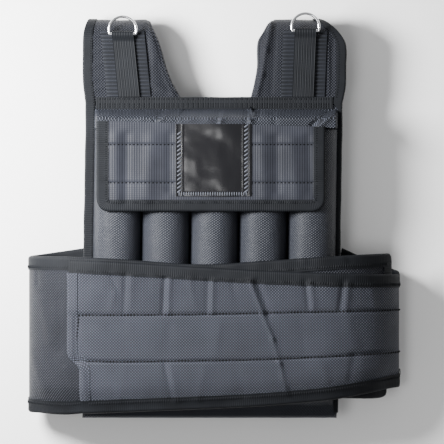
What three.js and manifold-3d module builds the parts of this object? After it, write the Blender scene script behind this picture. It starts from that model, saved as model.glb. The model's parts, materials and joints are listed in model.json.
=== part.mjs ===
// A weighted vest lying on its back, front side up.
// Millimetres. X runs across the chest, Y from the hem to the shoulders, Z up from the surface.
// Left and right are as seen from above, with the shoulders at the top.
// Heights along Y are counted from the hem of the front panel.
import * as THREE from "three";
import { mergeVertices } from "three/addons/utils/BufferGeometryUtils.js";
import Module from "manifold-3d";

const wasm = await Module();
wasm.setup();

// Clearance between pieces that touch
const seatGap = 0.3;

// Body panels
const bodyWidth = 280;
const hemSkew = 5;
const padThick = 12;
const padBevel = 2;
const torsoGap = 26;
const hemRadius = 9;
const neckHeight = 353;
const backHemRise = 26;

// Shoulders
const foldHeight = 439;

// Chest band and edge tape
const bandWidth = 13;
const bandThick = 1.7;
const bandInset = 11.5;
const tapeWidth = 9;
const tapeThick = 1;

// Weight pockets
const pocketCount = 5;
const pocketMarginLeft = 9;
const pocketMarginRight = 3.8;
const pocketRise = 28;
const pocketBottom = 14;
const pocketTop = 317;
const crestWidth = 9;
const crestSlope = 13;

// Flap over the pockets
const flapInsetLeft = 4.3;
const flapInsetRight = 13;
const flapLength = 99;
const flapThick = 3.2;
const flapTilt = 6.5;
const flapRadius = 13;
const flapTapeWidth = 11;
const windowWidth = 83;
const windowLength = 79;
const windowInset = 86.5;
const windowDrop = 3.5;
const windowThick = 1;

// Belt wings
const beltSpan = 411.4;
const wingThick = 3.5;
const wingChamfer = 1;
const wingTapeWidth = 13;
const beltTop = 177;
const foldLevel = 30;
const topSweep = 82;
const underSweep = 34;
const underLift = 0.5;
const innerWingSetback = 3.8;
const outerWingSetback = 41.9;

// Webbing on the shoulders
const ladderWidth = 48;
const ladderThick = 1.8;
const ladderRib = 0.5;
const ribPitch = 2.6;
const ladderCrest = 12;
const ringStrapWidth = 23.5;
const ringStrapThick = 2.2;

// D rings
const wireRadius = 1.6;
const ringRadius = 15;
const barOffset = 4.2;
const loopPlay = 0.6;
const ringInset = 39.5;
const ringSetbackLeft = 16.8;
const ringSetbackRight = 13.3;

// Steps of the curved surfaces
const strapSteps = 6;
const foldSteps = 10;
const sweepSteps = 9;
const tuckSteps = 5;
const pocketSteps = 12;
const ringSteps = 20;
const wireSides = 8;

// How little a direction may turn down and still count as level
const levelSlack = 1e-6;

// Heights worked out from the thicknesses above
const frontTop = 2 * padThick + torsoGap;
const foldRadius = frontTop / 2;
const foldCentre = foldHeight - foldRadius;
const seamHeight = neckHeight - bandWidth / 2;
const strapRise = foldHeight - seamHeight;
const pocketCrown = frontTop + seatGap + pocketRise;
const beltUnder = pocketCrown + seatGap;
const wingLayer = wingThick + tapeThick + 2 * seatGap;
const pocketPitch = (bodyWidth - pocketMarginLeft - pocketMarginRight) / pocketCount;
const loopInner = wireRadius + loopPlay;
const loopOuter = loopInner + ringStrapThick;
const ringSpread = bodyWidth / 2 - ringInset;

// The two straps: the share of the rise from seam to fold, and both edges as shares of half the body
const strapRows = {
  left: [
    { rise: 0, inner: 0.257, outer: 1 },
    { rise: 0.08, inner: 0.267, outer: 1.008 },
    { rise: 0.23, inner: 0.322, outer: 1.021 },
    { rise: 0.44, inner: 0.377, outer: 1.023 },
    { rise: 0.66, inner: 0.416, outer: 1.023 },
    { rise: 0.87, inner: 0.464, outer: 1.016 },
    { rise: 0.96, inner: 0.485, outer: 1.0 },
    { rise: 1, inner: 0.497, outer: 0.985 },
  ],
  right: [
    { rise: 0, inner: 0.286, outer: 1 },
    { rise: 0.08, inner: 0.291, outer: 1.012 },
    { rise: 0.23, inner: 0.314, outer: 1.026 },
    { rise: 0.44, inner: 0.338, outer: 1.029 },
    { rise: 0.66, inner: 0.338, outer: 1.029 },
    { rise: 0.76, inner: 0.348, outer: 1.012 },
    { rise: 0.87, inner: 0.385, outer: 0.96 },
    { rise: 0.96, inner: 0.415, outer: 0.89 },
    { rise: 1, inner: 0.44, outer: 0.84 },
  ],
};

// The belt: place across as a share of half its span, both edges as shares of its height
const innerWingRows = [
  { across: -1, top: 1, bottom: 0.037 },
  { across: -0.78, top: 1, bottom: 0.028 },
  { across: -0.5, top: 0.985, bottom: 0.068 },
  { across: -0.07, top: 0.953, bottom: 0.09 },
  { across: 0.3, top: 0.977, bottom: 0.107 },
  { across: 0.65, top: 1.004, bottom: 0.13 },
  { across: 0.92, top: 1.02, bottom: 0.13 },
  { across: 0.96, top: 1.022, bottom: 0.17 },
];
const outerWingRows = [
  { across: -0.786, top: 0.984, bottom: 0.38 },
  { across: -0.72, top: 0.981, bottom: 0.032 },
  { across: -0.5, top: 0.967, bottom: 0.043 },
  { across: -0.07, top: 0.936, bottom: 0.062 },
  { across: 0.25, top: 0.915, bottom: 0.081 },
  { across: 0.51, top: 0.903, bottom: 0.106 },
  { across: 0.65, top: 0.897, bottom: 0.125 },
  { across: 0.96, top: 0.889, bottom: 0.195 },
  { across: 1, top: 0.886, bottom: 0.24 },
];
const rootRow = { top: 1.055, bottom: 0.2 };

// The webbing and ring of each shoulder
const sides = [
  { name: "left", sign: -1, slant: 0.1, setback: ringSetbackLeft },
  { name: "right", sign: 1, slant: -0.04, setback: ringSetbackRight },
];

// Materials
const nylon = new THREE.MeshStandardMaterial({ color: "#3f424b", roughness: 0.75, metalness: 0 });
const webbing = new THREE.MeshStandardMaterial({ color: "#36383e", roughness: 0.85, metalness: 0 });
const vinyl = new THREE.MeshStandardMaterial({ color: "#0d0d10", roughness: 0.25, metalness: 0 });
const chrome = new THREE.MeshStandardMaterial({ color: "#d8dade", roughness: 0.15, metalness: 1 });

const vest = new THREE.Group();

function addPiece(name, geometry, material) {
  const mesh = new THREE.Mesh(geometry, material);
  mesh.name = name;
  vest.add(mesh);
  return mesh;
}

// Value of one column between the rows of a table
function between(rows, key, place, column) {
  const last = rows.length - 1;
  if (place <= rows[0][key]) {
    return rows[0][column];
  }
  if (place >= rows[last][key]) {
    return rows[last][column];
  }
  const next = rows.findIndex((row) => row[key] >= place);
  const share = (place - rows[next - 1][key]) / (rows[next][key] - rows[next - 1][key]);
  return THREE.MathUtils.lerp(rows[next - 1][column], rows[next][column], share);
}

// Turns a closed surface right side out
function faceOutward(geometry) {
  const place = geometry.attributes.position;
  const index = geometry.index.array;
  const corners = [new THREE.Vector3(), new THREE.Vector3(), new THREE.Vector3()];
  let volume = 0;
  for (let start = 0; start < index.length; start += 3) {
    corners.forEach((corner, turn) => corner.fromBufferAttribute(place, index[start + turn]));
    volume += corners[0].dot(corners[1].cross(corners[2]));
  }
  if (volume < 0) {
    for (let start = 0; start < index.length; start += 3) {
      const swap = index[start + 1];
      index[start + 1] = index[start + 2];
      index[start + 2] = swap;
    }
  }
  geometry.computeVertexNormals();
  return geometry;
}

// A closed surface through rings of points, capped at both ends or joined into a loop
function loft(rings, isLoop = false) {
  const count = rings[0].length;
  const index = [];
  const spans = isLoop ? rings.length : rings.length - 1;
  for (let ring = 0; ring < spans; ring += 1) {
    const near = ring * count;
    const far = ((ring + 1) % rings.length) * count;
    for (let side = 0; side < count; side += 1) {
      const next = (side + 1) % count;
      index.push(near + side, far + side, far + next);
      index.push(near + side, far + next, near + next);
    }
  }
  if (!isLoop) {
    const end = (rings.length - 1) * count;
    for (let side = 1; side < count - 1; side += 1) {
      index.push(0, side, side + 1);
      index.push(end, end + side + 1, end + side);
    }
  }
  const geometry = new THREE.BufferGeometry().setFromPoints(rings.flat());
  geometry.setIndex(index);
  return faceOutward(geometry);
}

// A flat plate with the outline of a shape
function plate(shape, bottom, thick, bevel = 0) {
  const geometry = new THREE.ExtrudeGeometry(shape, {
    depth: thick - 2 * bevel,
    bevelEnabled: bevel > 0,
    bevelThickness: bevel,
    bevelSize: bevel,
    bevelOffset: -bevel,
    bevelSegments: 1,
    curveSegments: 5,
  });
  geometry.translate(0, 0, bottom + bevel);
  return geometry;
}

// A solid for cutting and joining, and the geometry of its result
function solidOf(geometry) {
  const bare = geometry.clone();
  bare.deleteAttribute("normal");
  bare.deleteAttribute("uv");
  const merged = mergeVertices(bare);
  return new wasm.Manifold(
    new wasm.Mesh({
      numProp: 3,
      vertProperties: new Float32Array(merged.attributes.position.array),
      triVerts: new Uint32Array(merged.index.array),
    }),
  );
}

function geometryOf(solid) {
  const mesh = solid.getMesh();
  const geometry = new THREE.BufferGeometry();
  geometry.setAttribute("position", new THREE.BufferAttribute(mesh.vertProperties, 3));
  geometry.setIndex(new THREE.BufferAttribute(mesh.triVerts, 1));
  geometry.computeVertexNormals();
  return geometry;
}

// A padded band: one section on each point of a path, from one height above the path to another
// The path lies in the plane of Z and one flat axis, and edges gives the band's reach on the other
function strip(path, along, low, high, edges, chamfer = 0) {
  const rings = path.map((point) => {
    const [start, end] = edges(point);
    const section = [
      [start, low + chamfer],
      [start + chamfer, low],
      [end - chamfer, low],
      [end, low + chamfer],
      [end, high - chamfer],
      [end - chamfer, high],
      [start + chamfer, high],
      [start, high - chamfer],
    ].filter((corner, place) => chamfer > 0 || place % 2 === 0);
    return section.map(([across, lift]) => {
      const flat = point.flat + point.normalFlat * lift;
      const up = point.up + point.normalUp * lift;
      return along === "y" ? new THREE.Vector3(across, flat, up) : new THREE.Vector3(flat, across, up);
    });
  });
  return loft(rings);
}

// Points of a straight run and of part of an ellipse, each with its outward direction
function run(from, to, steps, normalUp, level) {
  const points = [];
  for (let step = 0; step <= steps; step += 1) {
    const flat = THREE.MathUtils.lerp(from, to, step / steps);
    points.push({ flat, up: level, normalFlat: 0, normalUp });
  }
  return points;
}

function bend(centreFlat, centreUp, radiusFlat, radiusUp, fromAngle, toAngle, steps) {
  const points = [];
  for (let step = 0; step <= steps; step += 1) {
    const angle = THREE.MathUtils.lerp(fromAngle, toAngle, step / steps);
    const slope = new THREE.Vector2(Math.cos(angle) * radiusUp, Math.sin(angle) * radiusFlat).normalize();
    points.push({
      flat: centreFlat + radiusFlat * Math.cos(angle),
      up: centreUp + radiusUp * Math.sin(angle),
      normalFlat: slope.x,
      normalUp: slope.y,
    });
  }
  return points;
}

// Leaves out the points that two joined stretches share
function joined(...stretches) {
  return stretches.flatMap((stretch, place) => (place === 0 ? stretch : stretch.slice(1)));
}

// Side edges of the body and of the straps
function bodyEdge(sign, height) {
  return (sign * bodyWidth) / 2 - hemSkew * (1 - height / seamHeight);
}

function strapEdge(side, height, column) {
  const share = (height - seamHeight) / strapRise;
  return (side.sign * between(strapRows[side.name], "rise", share, column) * bodyWidth) / 2;
}

function outlineEdge(side, height) {
  return height <= seamHeight ? bodyEdge(side.sign, height) : strapEdge(side, height, "outer");
}

// Outline of the front and back panels, with the neck standing up between the straps
function panelShape(hem) {
  const shape = new THREE.Shape();
  const [left, right] = sides;
  shape.moveTo(bodyEdge(-1, hem) + hemRadius, hem);
  shape.lineTo(bodyEdge(1, hem) - hemRadius, hem);
  shape.quadraticCurveTo(bodyEdge(1, hem), hem, bodyEdge(1, hem + hemRadius), hem + hemRadius);
  shape.lineTo(bodyEdge(1, seamHeight), seamHeight);
  shape.lineTo(strapEdge(right, seamHeight, "inner") - seatGap, seamHeight);
  shape.lineTo(strapEdge(right, neckHeight, "inner") - seatGap, neckHeight);
  shape.lineTo(strapEdge(left, neckHeight, "inner") + seatGap, neckHeight);
  shape.lineTo(strapEdge(left, seamHeight, "inner") + seatGap, seamHeight);
  shape.lineTo(bodyEdge(-1, seamHeight), seamHeight);
  shape.lineTo(bodyEdge(-1, hem + hemRadius), hem + hemRadius);
  shape.quadraticCurveTo(bodyEdge(-1, hem), hem, bodyEdge(-1, hem) + hemRadius, hem);
  return shape;
}

// The raised crest that closes the upper ends of the pockets
function crest() {
  const foot = frontTop - padBevel;
  const start = pocketTop + seatGap;
  const profile = [
    [start, foot],
    [start, pocketCrown - padBevel],
    [start + padBevel, pocketCrown],
    [start + crestWidth, pocketCrown],
    [start + crestWidth + crestSlope, foot],
  ];
  const crestEnd = start + crestWidth + crestSlope;
  const rings = [pocketEdge(0, crestEnd), pocketEdge(pocketCount, start)].map((across) =>
    profile.map(([height, up]) => new THREE.Vector3(across, height, up)),
  );
  return loft(rings);
}

function pocketEdge(place, height) {
  return bodyEdge(-1, height) + pocketMarginLeft + place * pocketPitch;
}

function frontPanel() {
  const pad = solidOf(plate(panelShape(0), padThick + torsoGap, padThick, padBevel));
  return geometryOf(pad.add(solidOf(crest())));
}

function backPanel() {
  return plate(panelShape(backHemRise), 0, padThick, padBevel);
}

// A shoulder strap runs up the front, over the fold and down the back
function strapPath(from, to) {
  return joined(
    run(from, foldCentre, strapSteps, 1, frontTop),
    bend(foldCentre, foldRadius, foldRadius, foldRadius, Math.PI / 2, to, foldSteps),
  );
}

function shoulder(side) {
  const edges = (point) => {
    const inner = strapEdge(side, point.flat, "inner");
    const outer = strapEdge(side, point.flat, "outer");
    return [Math.min(inner, outer), Math.max(inner, outer)];
  };
  const start = seamHeight + seatGap;
  const path = joined(strapPath(start, -Math.PI / 2), run(foldCentre, start, strapSteps, -1, 0));
  return strip(path, "y", -padThick, 0, edges, padBevel);
}

// Tape along the side edge, from the hem over the shoulder fold
function edgeTape(side) {
  const margin = side.sign < 0 ? pocketMarginLeft : pocketMarginRight;
  const crestEnd = pocketTop + crestWidth + crestSlope;
  const edges = (point) => {
    const width = point.flat <= crestEnd ? margin - seatGap : tapeWidth;
    const outer = outlineEdge(side, point.flat);
    const inner = outer - side.sign * width;
    return [Math.min(inner, outer), Math.max(inner, outer)];
  };
  const path = joined(
    run(hemRadius, crestEnd, 4, 1, frontTop),
    run(crestEnd, seamHeight, 2, 1, frontTop),
    strapPath(seamHeight, 0),
  );
  return strip(path, "y", seatGap, seatGap + tapeThick, edges);
}

function chestBand() {
  const shape = new THREE.Shape();
  const bottom = neckHeight - bandWidth;
  shape.moveTo(bodyEdge(-1, bottom) + bandInset, bottom);
  shape.lineTo(bodyEdge(1, bottom) - bandInset, bottom);
  shape.lineTo(bodyEdge(1, neckHeight) - bandInset, neckHeight);
  shape.lineTo(bodyEdge(-1, neckHeight) + bandInset, neckHeight);
  return plate(shape, frontTop + seatGap, bandThick);
}

// A half round tube with drawn-in ends
function weightPocket(place) {
  const ends = [
    { share: 0, rise: 0.35 },
    { share: 0.02, rise: 0.78 },
    { share: 0.06, rise: 1 },
    { share: 0.5, rise: 1 },
    { share: 0.95, rise: 1 },
    { share: 1, rise: 0.9 },
  ];
  const rings = ends.map((end) => {
    const height = THREE.MathUtils.lerp(pocketBottom, pocketTop, end.share);
    const left = pocketEdge(place, height) + seatGap;
    const right = pocketEdge(place + 1, height) - seatGap;
    const points = [];
    for (let step = 0; step <= pocketSteps; step += 1) {
      const angle = (Math.PI * step) / pocketSteps;
      const across = (left + right) / 2 + ((right - left) / 2) * Math.cos(angle);
      const up = frontTop + seatGap + pocketRise * end.rise * Math.sin(angle);
      points.push(new THREE.Vector3(across, height, up));
    }
    return points;
  });
  return loft(rings);
}

// The flap hangs from the crest over the pocket mouths
const flapTop = pocketTop + seatGap + crestWidth;
const flapBottom = flapTop - flapLength;
const flapLeft = pocketEdge(0, flapBottom) + flapInsetLeft;
const flapRight = pocketEdge(pocketCount, flapBottom) - flapInsetRight;

function flap() {
  const shape = new THREE.Shape();
  shape.moveTo(flapLeft, flapTop);
  shape.lineTo(flapLeft, flapBottom + flapRadius);
  shape.quadraticCurveTo(flapLeft, flapBottom, flapLeft + flapRadius, flapBottom);
  shape.lineTo(flapRight - flapRadius, flapBottom);
  shape.quadraticCurveTo(flapRight, flapBottom, flapRight, flapBottom + flapRadius);
  shape.lineTo(flapRight, flapTop - flapTilt);
  return plate(shape, beltUnder, flapThick);
}

function flapBinding() {
  const shape = new THREE.Shape();
  const innerLeft = flapLeft + flapTapeWidth;
  const innerRight = flapRight - flapTapeWidth;
  const innerBottom = flapBottom + flapTapeWidth;
  const innerRadius = flapRadius / 3;
  shape.moveTo(flapLeft, flapTop);
  shape.lineTo(flapLeft, flapBottom + flapRadius);
  shape.quadraticCurveTo(flapLeft, flapBottom, flapLeft + flapRadius, flapBottom);
  shape.lineTo(flapRight - flapRadius, flapBottom);
  shape.quadraticCurveTo(flapRight, flapBottom, flapRight, flapBottom + flapRadius);
  shape.lineTo(flapRight, flapTop - flapTilt);
  shape.lineTo(innerRight, flapTop - flapTilt);
  shape.lineTo(innerRight, innerBottom + innerRadius);
  shape.quadraticCurveTo(innerRight, innerBottom, innerRight - innerRadius, innerBottom);
  shape.lineTo(innerLeft + innerRadius, innerBottom);
  shape.quadraticCurveTo(innerLeft, innerBottom, innerLeft, innerBottom + innerRadius);
  shape.lineTo(innerLeft, flapTop);
  return plate(shape, beltUnder + flapThick + seatGap, tapeThick);
}

function windowPatch() {
  const shape = new THREE.Shape();
  const left = flapLeft + windowInset;
  const top = flapTop - windowDrop;
  shape.moveTo(left, top);
  shape.lineTo(left, top - windowLength);
  shape.lineTo(left + windowWidth, top - windowLength);
  shape.lineTo(left + windowWidth, top - flapTilt / 3);
  return plate(shape, beltUnder + flapThick + seatGap, windowThick);
}

// The belt's path: out from under one side, round the fold, across the top and down the other side
const leftSide = beltSpan / 2 - wingThick - seatGap - tapeThick;
const rightSide = leftSide - wingLayer;
const innerWingEnd = rightSide - innerWingSetback;
const outerWingEnd = outerWingSetback - leftSide;

function beltLoop() {
  const leftLevel = underLift + wingThick + seatGap + tapeThick;
  const rightLevel = leftLevel + wingLayer;
  const crown = beltUnder - foldLevel;
  const root = bodyWidth / 2 - 2 * padThick;
  const half = Math.PI / 2;
  return joined(
    run(-root, underSweep - leftSide, 3, -1, leftLevel),
    bend(underSweep - leftSide, foldLevel, underSweep, foldLevel - leftLevel, -half, -2 * half, tuckSteps),
    bend(topSweep - leftSide, foldLevel, topSweep, crown, 2 * half, half, sweepSteps),
    run(topSweep - leftSide, rightSide - topSweep, 10, 1, beltUnder),
    bend(rightSide - topSweep, foldLevel, topSweep, crown, half, 0, sweepSteps),
    bend(rightSide - underSweep, foldLevel, underSweep, foldLevel - rightLevel, 0, -half, tuckSteps),
    run(rightSide - underSweep, root, 3, -1, rightLevel),
  );
}

// A point on the chord between two others
function onChord(from, to, flat) {
  const share = (flat - from.flat) / (to.flat - from.flat);
  const point = { flat };
  for (const key of ["up", "normalFlat", "normalUp"]) {
    point[key] = THREE.MathUtils.lerp(from[key], to[key], share);
  }
  return point;
}

// The belt's path with a point on top at each given place, cut off at a wing's free end
function wingPath(places, freeEnd) {
  const stops = [...places, freeEnd];
  const path = beltLoop().flatMap((point, place, all) => {
    const next = all[place + 1];
    if (next === undefined || Math.min(point.normalUp, next.normalUp) < -levelSlack) {
      return [point];
    }
    const inside = stops.filter((stop) => stop > point.flat + seatGap && stop < next.flat - seatGap);
    inside.sort((first, second) => first - second);
    return [point, ...inside.map((stop) => onChord(point, next, stop))];
  });
  const onTop = (point) => point.normalUp > -levelSlack;
  const end = path.findIndex((point) => onTop(point) && Math.abs(point.flat - freeEnd) <= seatGap);
  return freeEnd < 0 ? path.slice(end) : path.slice(0, end + 1);
}

// Both edges of a wing: on top from its table, underneath drawn towards its root
function wingEdges(rows, inset) {
  return (point) => {
    const half = beltSpan / 2;
    const across = point.flat / half;
    let top = between(rows, "across", across, "top");
    let bottom = between(rows, "across", across, "bottom");
    if (point.normalUp < 0) {
      const end = Math.sign(across);
      const share = THREE.MathUtils.clamp((half - Math.abs(point.flat)) / (half - bodyWidth / 2), 0, 1);
      top = THREE.MathUtils.lerp(between(rows, "across", end, "top"), rootRow.top, share);
      bottom = THREE.MathUtils.lerp(between(rows, "across", end, "bottom"), rootRow.bottom, share);
    }
    return [bottom * beltTop + inset, top * beltTop - inset];
  };
}

// The wings stop at the side edges of the back panel
function backRoom() {
  const bottom = -padThick;
  const block = solidOf(plate(panelShape(-backHemRise), bottom, padThick + seatGap - bottom));
  return block.add(block.translate([seatGap, 0, 0])).add(block.translate([-seatGap, 0, 0]));
}

const rootRoom = backRoom();

function wing(rows, freeEnd, layer) {
  const low = layer * wingLayer;
  const path = wingPath(rowPlaces(rows), freeEnd);
  const full = solidOf(strip(path, "x", low, low + wingThick, wingEdges(rows, 0), wingChamfer));
  return geometryOf(full.subtract(rootRoom));
}

// Tape round three edges of a wing
function wingBinding(rows, freeEnd, layer) {
  const low = layer * wingLayer + wingThick + seatGap;
  const high = low + tapeThick;
  const path = wingPath(rowPlaces(rows), freeEnd);
  const full = solidOf(strip(path, "x", low, high, wingEdges(rows, 0)));
  const innerEnd = freeEnd - Math.sign(freeEnd) * wingTapeWidth;
  const innerPath = wingPath(rowPlaces(rows), innerEnd);
  const inner = strip(innerPath, "x", low - tapeThick, high + tapeThick, wingEdges(rows, wingTapeWidth));
  return geometryOf(full.subtract(solidOf(inner)).subtract(rootRoom));
}

function rowPlaces(rows) {
  return rows.map((row) => (row.across * beltSpan) / 2);
}

// Ribbed webbing over the shoulder pad, its ribs across the strap
function ladderWebbing(side) {
  const start = neckHeight + seatGap;
  const crestAngle = Math.PI / 2 - ladderCrest / foldRadius;
  const flatRun = foldCentre - start;
  const flatSteps = Math.round(flatRun / ribPitch) * 2;
  const bendSteps = Math.round(ladderCrest / ribPitch) * 2;
  const path = joined(
    run(start, foldCentre, flatSteps, 1, frontTop),
    bend(foldCentre, foldRadius, foldRadius, foldRadius, Math.PI / 2, crestAngle, bendSteps),
  );
  const rings = path.map((point, place) => {
    const centre = strapCentre(side, point.flat);
    const thick = place % 2 === 0 ? ladderThick - ladderRib : ladderThick;
    const section = [
      [-ladderWidth / 2, seatGap],
      [ladderWidth / 2, seatGap],
      [ladderWidth / 2, seatGap + thick],
      [-ladderWidth / 2, seatGap + thick],
    ];
    return section.map(
      ([across, lift]) =>
        new THREE.Vector3(
          centre + across,
          point.flat + point.normalFlat * lift,
          point.up + point.normalUp * lift,
        ),
    );
  });
  return loft(rings);
}

function strapCentre(side, height) {
  return side.sign * ringSpread + side.slant * (foldHeight - side.setback - height);
}

// Where the bar of a ring lies: its loop rests on the webbing over the fold
function barPlace(side) {
  const height = foldHeight - side.setback;
  const reach = foldRadius + ladderThick + 2 * seatGap + loopOuter;
  const past = Math.max(height - foldCentre, 0);
  return new THREE.Vector3(side.sign * ringSpread, height, foldRadius + Math.sqrt(reach ** 2 - past ** 2));
}

// Strap with a sewn loop that holds the bar of the ring
function ringStrap(side) {
  const bar = barPlace(side);
  const bottom = frontTop + 2 * seatGap + ladderThick;
  const top = bottom + ringStrapThick;
  const lowAngle = Math.PI - Math.asin(THREE.MathUtils.clamp((bottom - bar.z) / loopOuter, -0.95, 0.5));
  const highAngle = Math.PI - Math.asin(THREE.MathUtils.clamp((top - bar.z) / loopOuter, -0.5, 0.95));
  const start = neckHeight + seatGap;
  const shape = new THREE.Shape();
  shape.moveTo(start, bottom);
  shape.lineTo(bar.y + loopOuter * Math.cos(lowAngle), bottom);
  shape.absarc(bar.y, bar.z, loopOuter, lowAngle, highAngle + 2 * Math.PI, false);
  shape.lineTo(start, top);
  const hole = new THREE.Path();
  hole.absarc(bar.y, bar.z, loopInner, 0, 2 * Math.PI, true);
  shape.holes.push(hole);
  const geometry = new THREE.ExtrudeGeometry(shape, {
    depth: ringStrapWidth,
    bevelEnabled: false,
    curveSegments: 9,
  });
  geometry.applyMatrix4(
    new THREE.Matrix4().makeBasis(
      new THREE.Vector3(0, 1, 0),
      new THREE.Vector3(0, 0, 1),
      new THREE.Vector3(1, 0, 0),
    ),
  );
  const place = geometry.attributes.position;
  for (let point = 0; point < place.count; point += 1) {
    const shift = strapCentre(side, place.getY(point)) - ringStrapWidth / 2;
    place.setX(point, place.getX(point) + shift);
  }
  return geometry;
}

// Wire bent into a D, its straight bar on the hinge line
function dRing() {
  const halfBar = Math.sqrt(ringRadius ** 2 - barOffset ** 2);
  const dip = Math.asin(barOffset / ringRadius);
  const centres = [];
  for (let step = 0; step <= ringSteps; step += 1) {
    const angle = THREE.MathUtils.lerp(-dip, Math.PI + dip, step / ringSteps);
    centres.push(
      new THREE.Vector3(ringRadius * Math.cos(angle), barOffset + ringRadius * Math.sin(angle), 0),
    );
  }
  const barSteps = 3;
  for (let step = 1; step < barSteps; step += 1) {
    centres.push(new THREE.Vector3(THREE.MathUtils.lerp(-halfBar, halfBar, step / barSteps), 0, 0));
  }
  const up = new THREE.Vector3(0, 0, 1);
  const rings = centres.map((centre, place) => {
    const before = centres[(place + centres.length - 1) % centres.length];
    const after = centres[(place + 1) % centres.length];
    const arrive = centre.clone().sub(before).normalize();
    const leave = after.clone().sub(centre).normalize();
    const tangent = arrive.clone().add(leave).normalize();
    const side = up.clone().cross(tangent).multiplyScalar(1 / tangent.dot(leave));
    const points = [];
    for (let turn = 0; turn < wireSides; turn += 1) {
      const angle = (2 * Math.PI * (turn + 0.5)) / wireSides;
      points.push(
        centre
          .clone()
          .addScaledVector(side, wireRadius * Math.cos(angle))
          .addScaledVector(up, wireRadius * Math.sin(angle)),
      );
    }
    return points;
  });
  return loft(rings, true);
}

addPiece("back_panel", backPanel(), nylon);
addPiece("front_panel", frontPanel(), nylon);
addPiece("chest_band", chestBand(), webbing);
for (const side of sides) {
  addPiece(`shoulder_${side.name}`, shoulder(side), nylon);
  addPiece(`edge_tape_${side.name}`, edgeTape(side), webbing);
  addPiece(`ladder_webbing_${side.name}`, ladderWebbing(side), webbing);
  addPiece(`ring_strap_${side.name}`, ringStrap(side), webbing);
  addPiece(`d_ring_${side.name}`, dRing(), chrome).position.copy(barPlace(side));
}
for (let place = 0; place < pocketCount; place += 1) {
  addPiece(`weight_pocket_${place + 1}`, weightPocket(place), nylon);
}
addPiece("flap", flap(), nylon);
addPiece("flap_binding", flapBinding(), webbing);
addPiece("window_patch", windowPatch(), vinyl);
addPiece("belt_wing_inner", wing(innerWingRows, innerWingEnd, 0), nylon);
addPiece("wing_binding_inner", wingBinding(innerWingRows, innerWingEnd, 0), webbing);
addPiece("belt_wing_outer", wing(outerWingRows, outerWingEnd, 1), nylon);
addPiece("wing_binding_outer", wingBinding(outerWingRows, outerWingEnd, 1), webbing);

// The origin lies on the surface, under the middle of the whole vest
const bounds = new THREE.Box3().setFromObject(vest);
const middle = bounds.getCenter(new THREE.Vector3());
vest.position.set(-middle.x, -middle.y, -bounds.min.z);

export default vest;
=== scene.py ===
import json
import math
from bisect import bisect_right
import bmesh
import bpy
from mathutils import Matrix, Vector, noise


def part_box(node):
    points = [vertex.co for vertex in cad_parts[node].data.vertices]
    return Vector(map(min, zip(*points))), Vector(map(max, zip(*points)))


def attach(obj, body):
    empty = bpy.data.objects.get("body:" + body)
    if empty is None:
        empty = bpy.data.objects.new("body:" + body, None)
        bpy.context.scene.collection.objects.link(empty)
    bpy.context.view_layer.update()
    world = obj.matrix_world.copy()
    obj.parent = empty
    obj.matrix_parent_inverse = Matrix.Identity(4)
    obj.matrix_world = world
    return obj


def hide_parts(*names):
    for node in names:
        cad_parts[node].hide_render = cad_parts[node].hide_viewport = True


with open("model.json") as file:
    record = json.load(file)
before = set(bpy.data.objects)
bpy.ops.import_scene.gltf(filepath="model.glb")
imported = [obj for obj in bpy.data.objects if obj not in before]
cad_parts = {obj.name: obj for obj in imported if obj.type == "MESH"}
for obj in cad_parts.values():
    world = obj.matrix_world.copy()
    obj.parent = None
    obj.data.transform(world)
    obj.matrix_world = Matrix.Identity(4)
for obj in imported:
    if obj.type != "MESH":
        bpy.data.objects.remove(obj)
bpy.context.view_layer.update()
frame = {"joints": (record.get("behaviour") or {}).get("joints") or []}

# Driving sizes in metres, from the frame where a node gives them
MM = 0.001
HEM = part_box("front_panel")[0][1]
FRONT_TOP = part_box("shoulder_left")[1][2]
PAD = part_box("back_panel")[1][2]
FOLD_RADIUS = FRONT_TOP / 2
FOLD_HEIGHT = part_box("shoulder_left")[1][1] - HEM
FOLD_CENTRE = FOLD_HEIGHT - FOLD_RADIUS
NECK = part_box("chest_band")[1][1] - HEM
BAND = NECK - (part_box("chest_band")[0][1] - HEM)
SEAM = NECK - BAND / 2
BODY_HALF = 140 * MM
HEM_SKEW = 5 * MM
GAP = 0.3 * MM
POCKET_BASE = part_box("weight_pocket_1")[0][2]
POCKET_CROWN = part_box("weight_pocket_1")[1][2]
POCKET_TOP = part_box("weight_pocket_1")[1][1] - HEM
POCKET_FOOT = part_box("weight_pocket_1")[0][1] - HEM
FLAP_LOW, FLAP_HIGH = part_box("flap")
WINDOW_LOW, WINDOW_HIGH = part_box("window_patch")
BELT_UNDER = FLAP_LOW[2]
BELT_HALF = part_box("wing_binding_inner")[0][0] * -1
BELT_TOP = 177 * MM
WING = 3.5 * MM
TAPE = 1 * MM
LAYER = WING + TAPE + 2 * GAP

# The photograph's pixels as places on the vest
PIXEL = 1.1 * MM
PIXEL_MIDDLE = 214
PIXEL_HEM = 418


def seen(column, row):
    """Place across and height above the hem of a pixel of the photograph"""
    return (column - PIXEL_MIDDLE) * PIXEL, (PIXEL_HEM - row) * PIXEL


# Small helpers for numbers

def mix(low, high, share):
    return low + (high - low) * share


def clamp(value, low=0.0, high=1.0):
    return max(low, min(high, value))


def ease(share):
    share = clamp(share)
    return share * share * (3 - 2 * share)


def bell(distance, width):
    return math.exp(-((distance / width) ** 2))


def crowded(share):
    """Moves even steps towards both ends, where a pad's edge is rounded"""
    return mix(share, 0.5 - 0.5 * math.cos(math.pi * share), 0.75)


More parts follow.
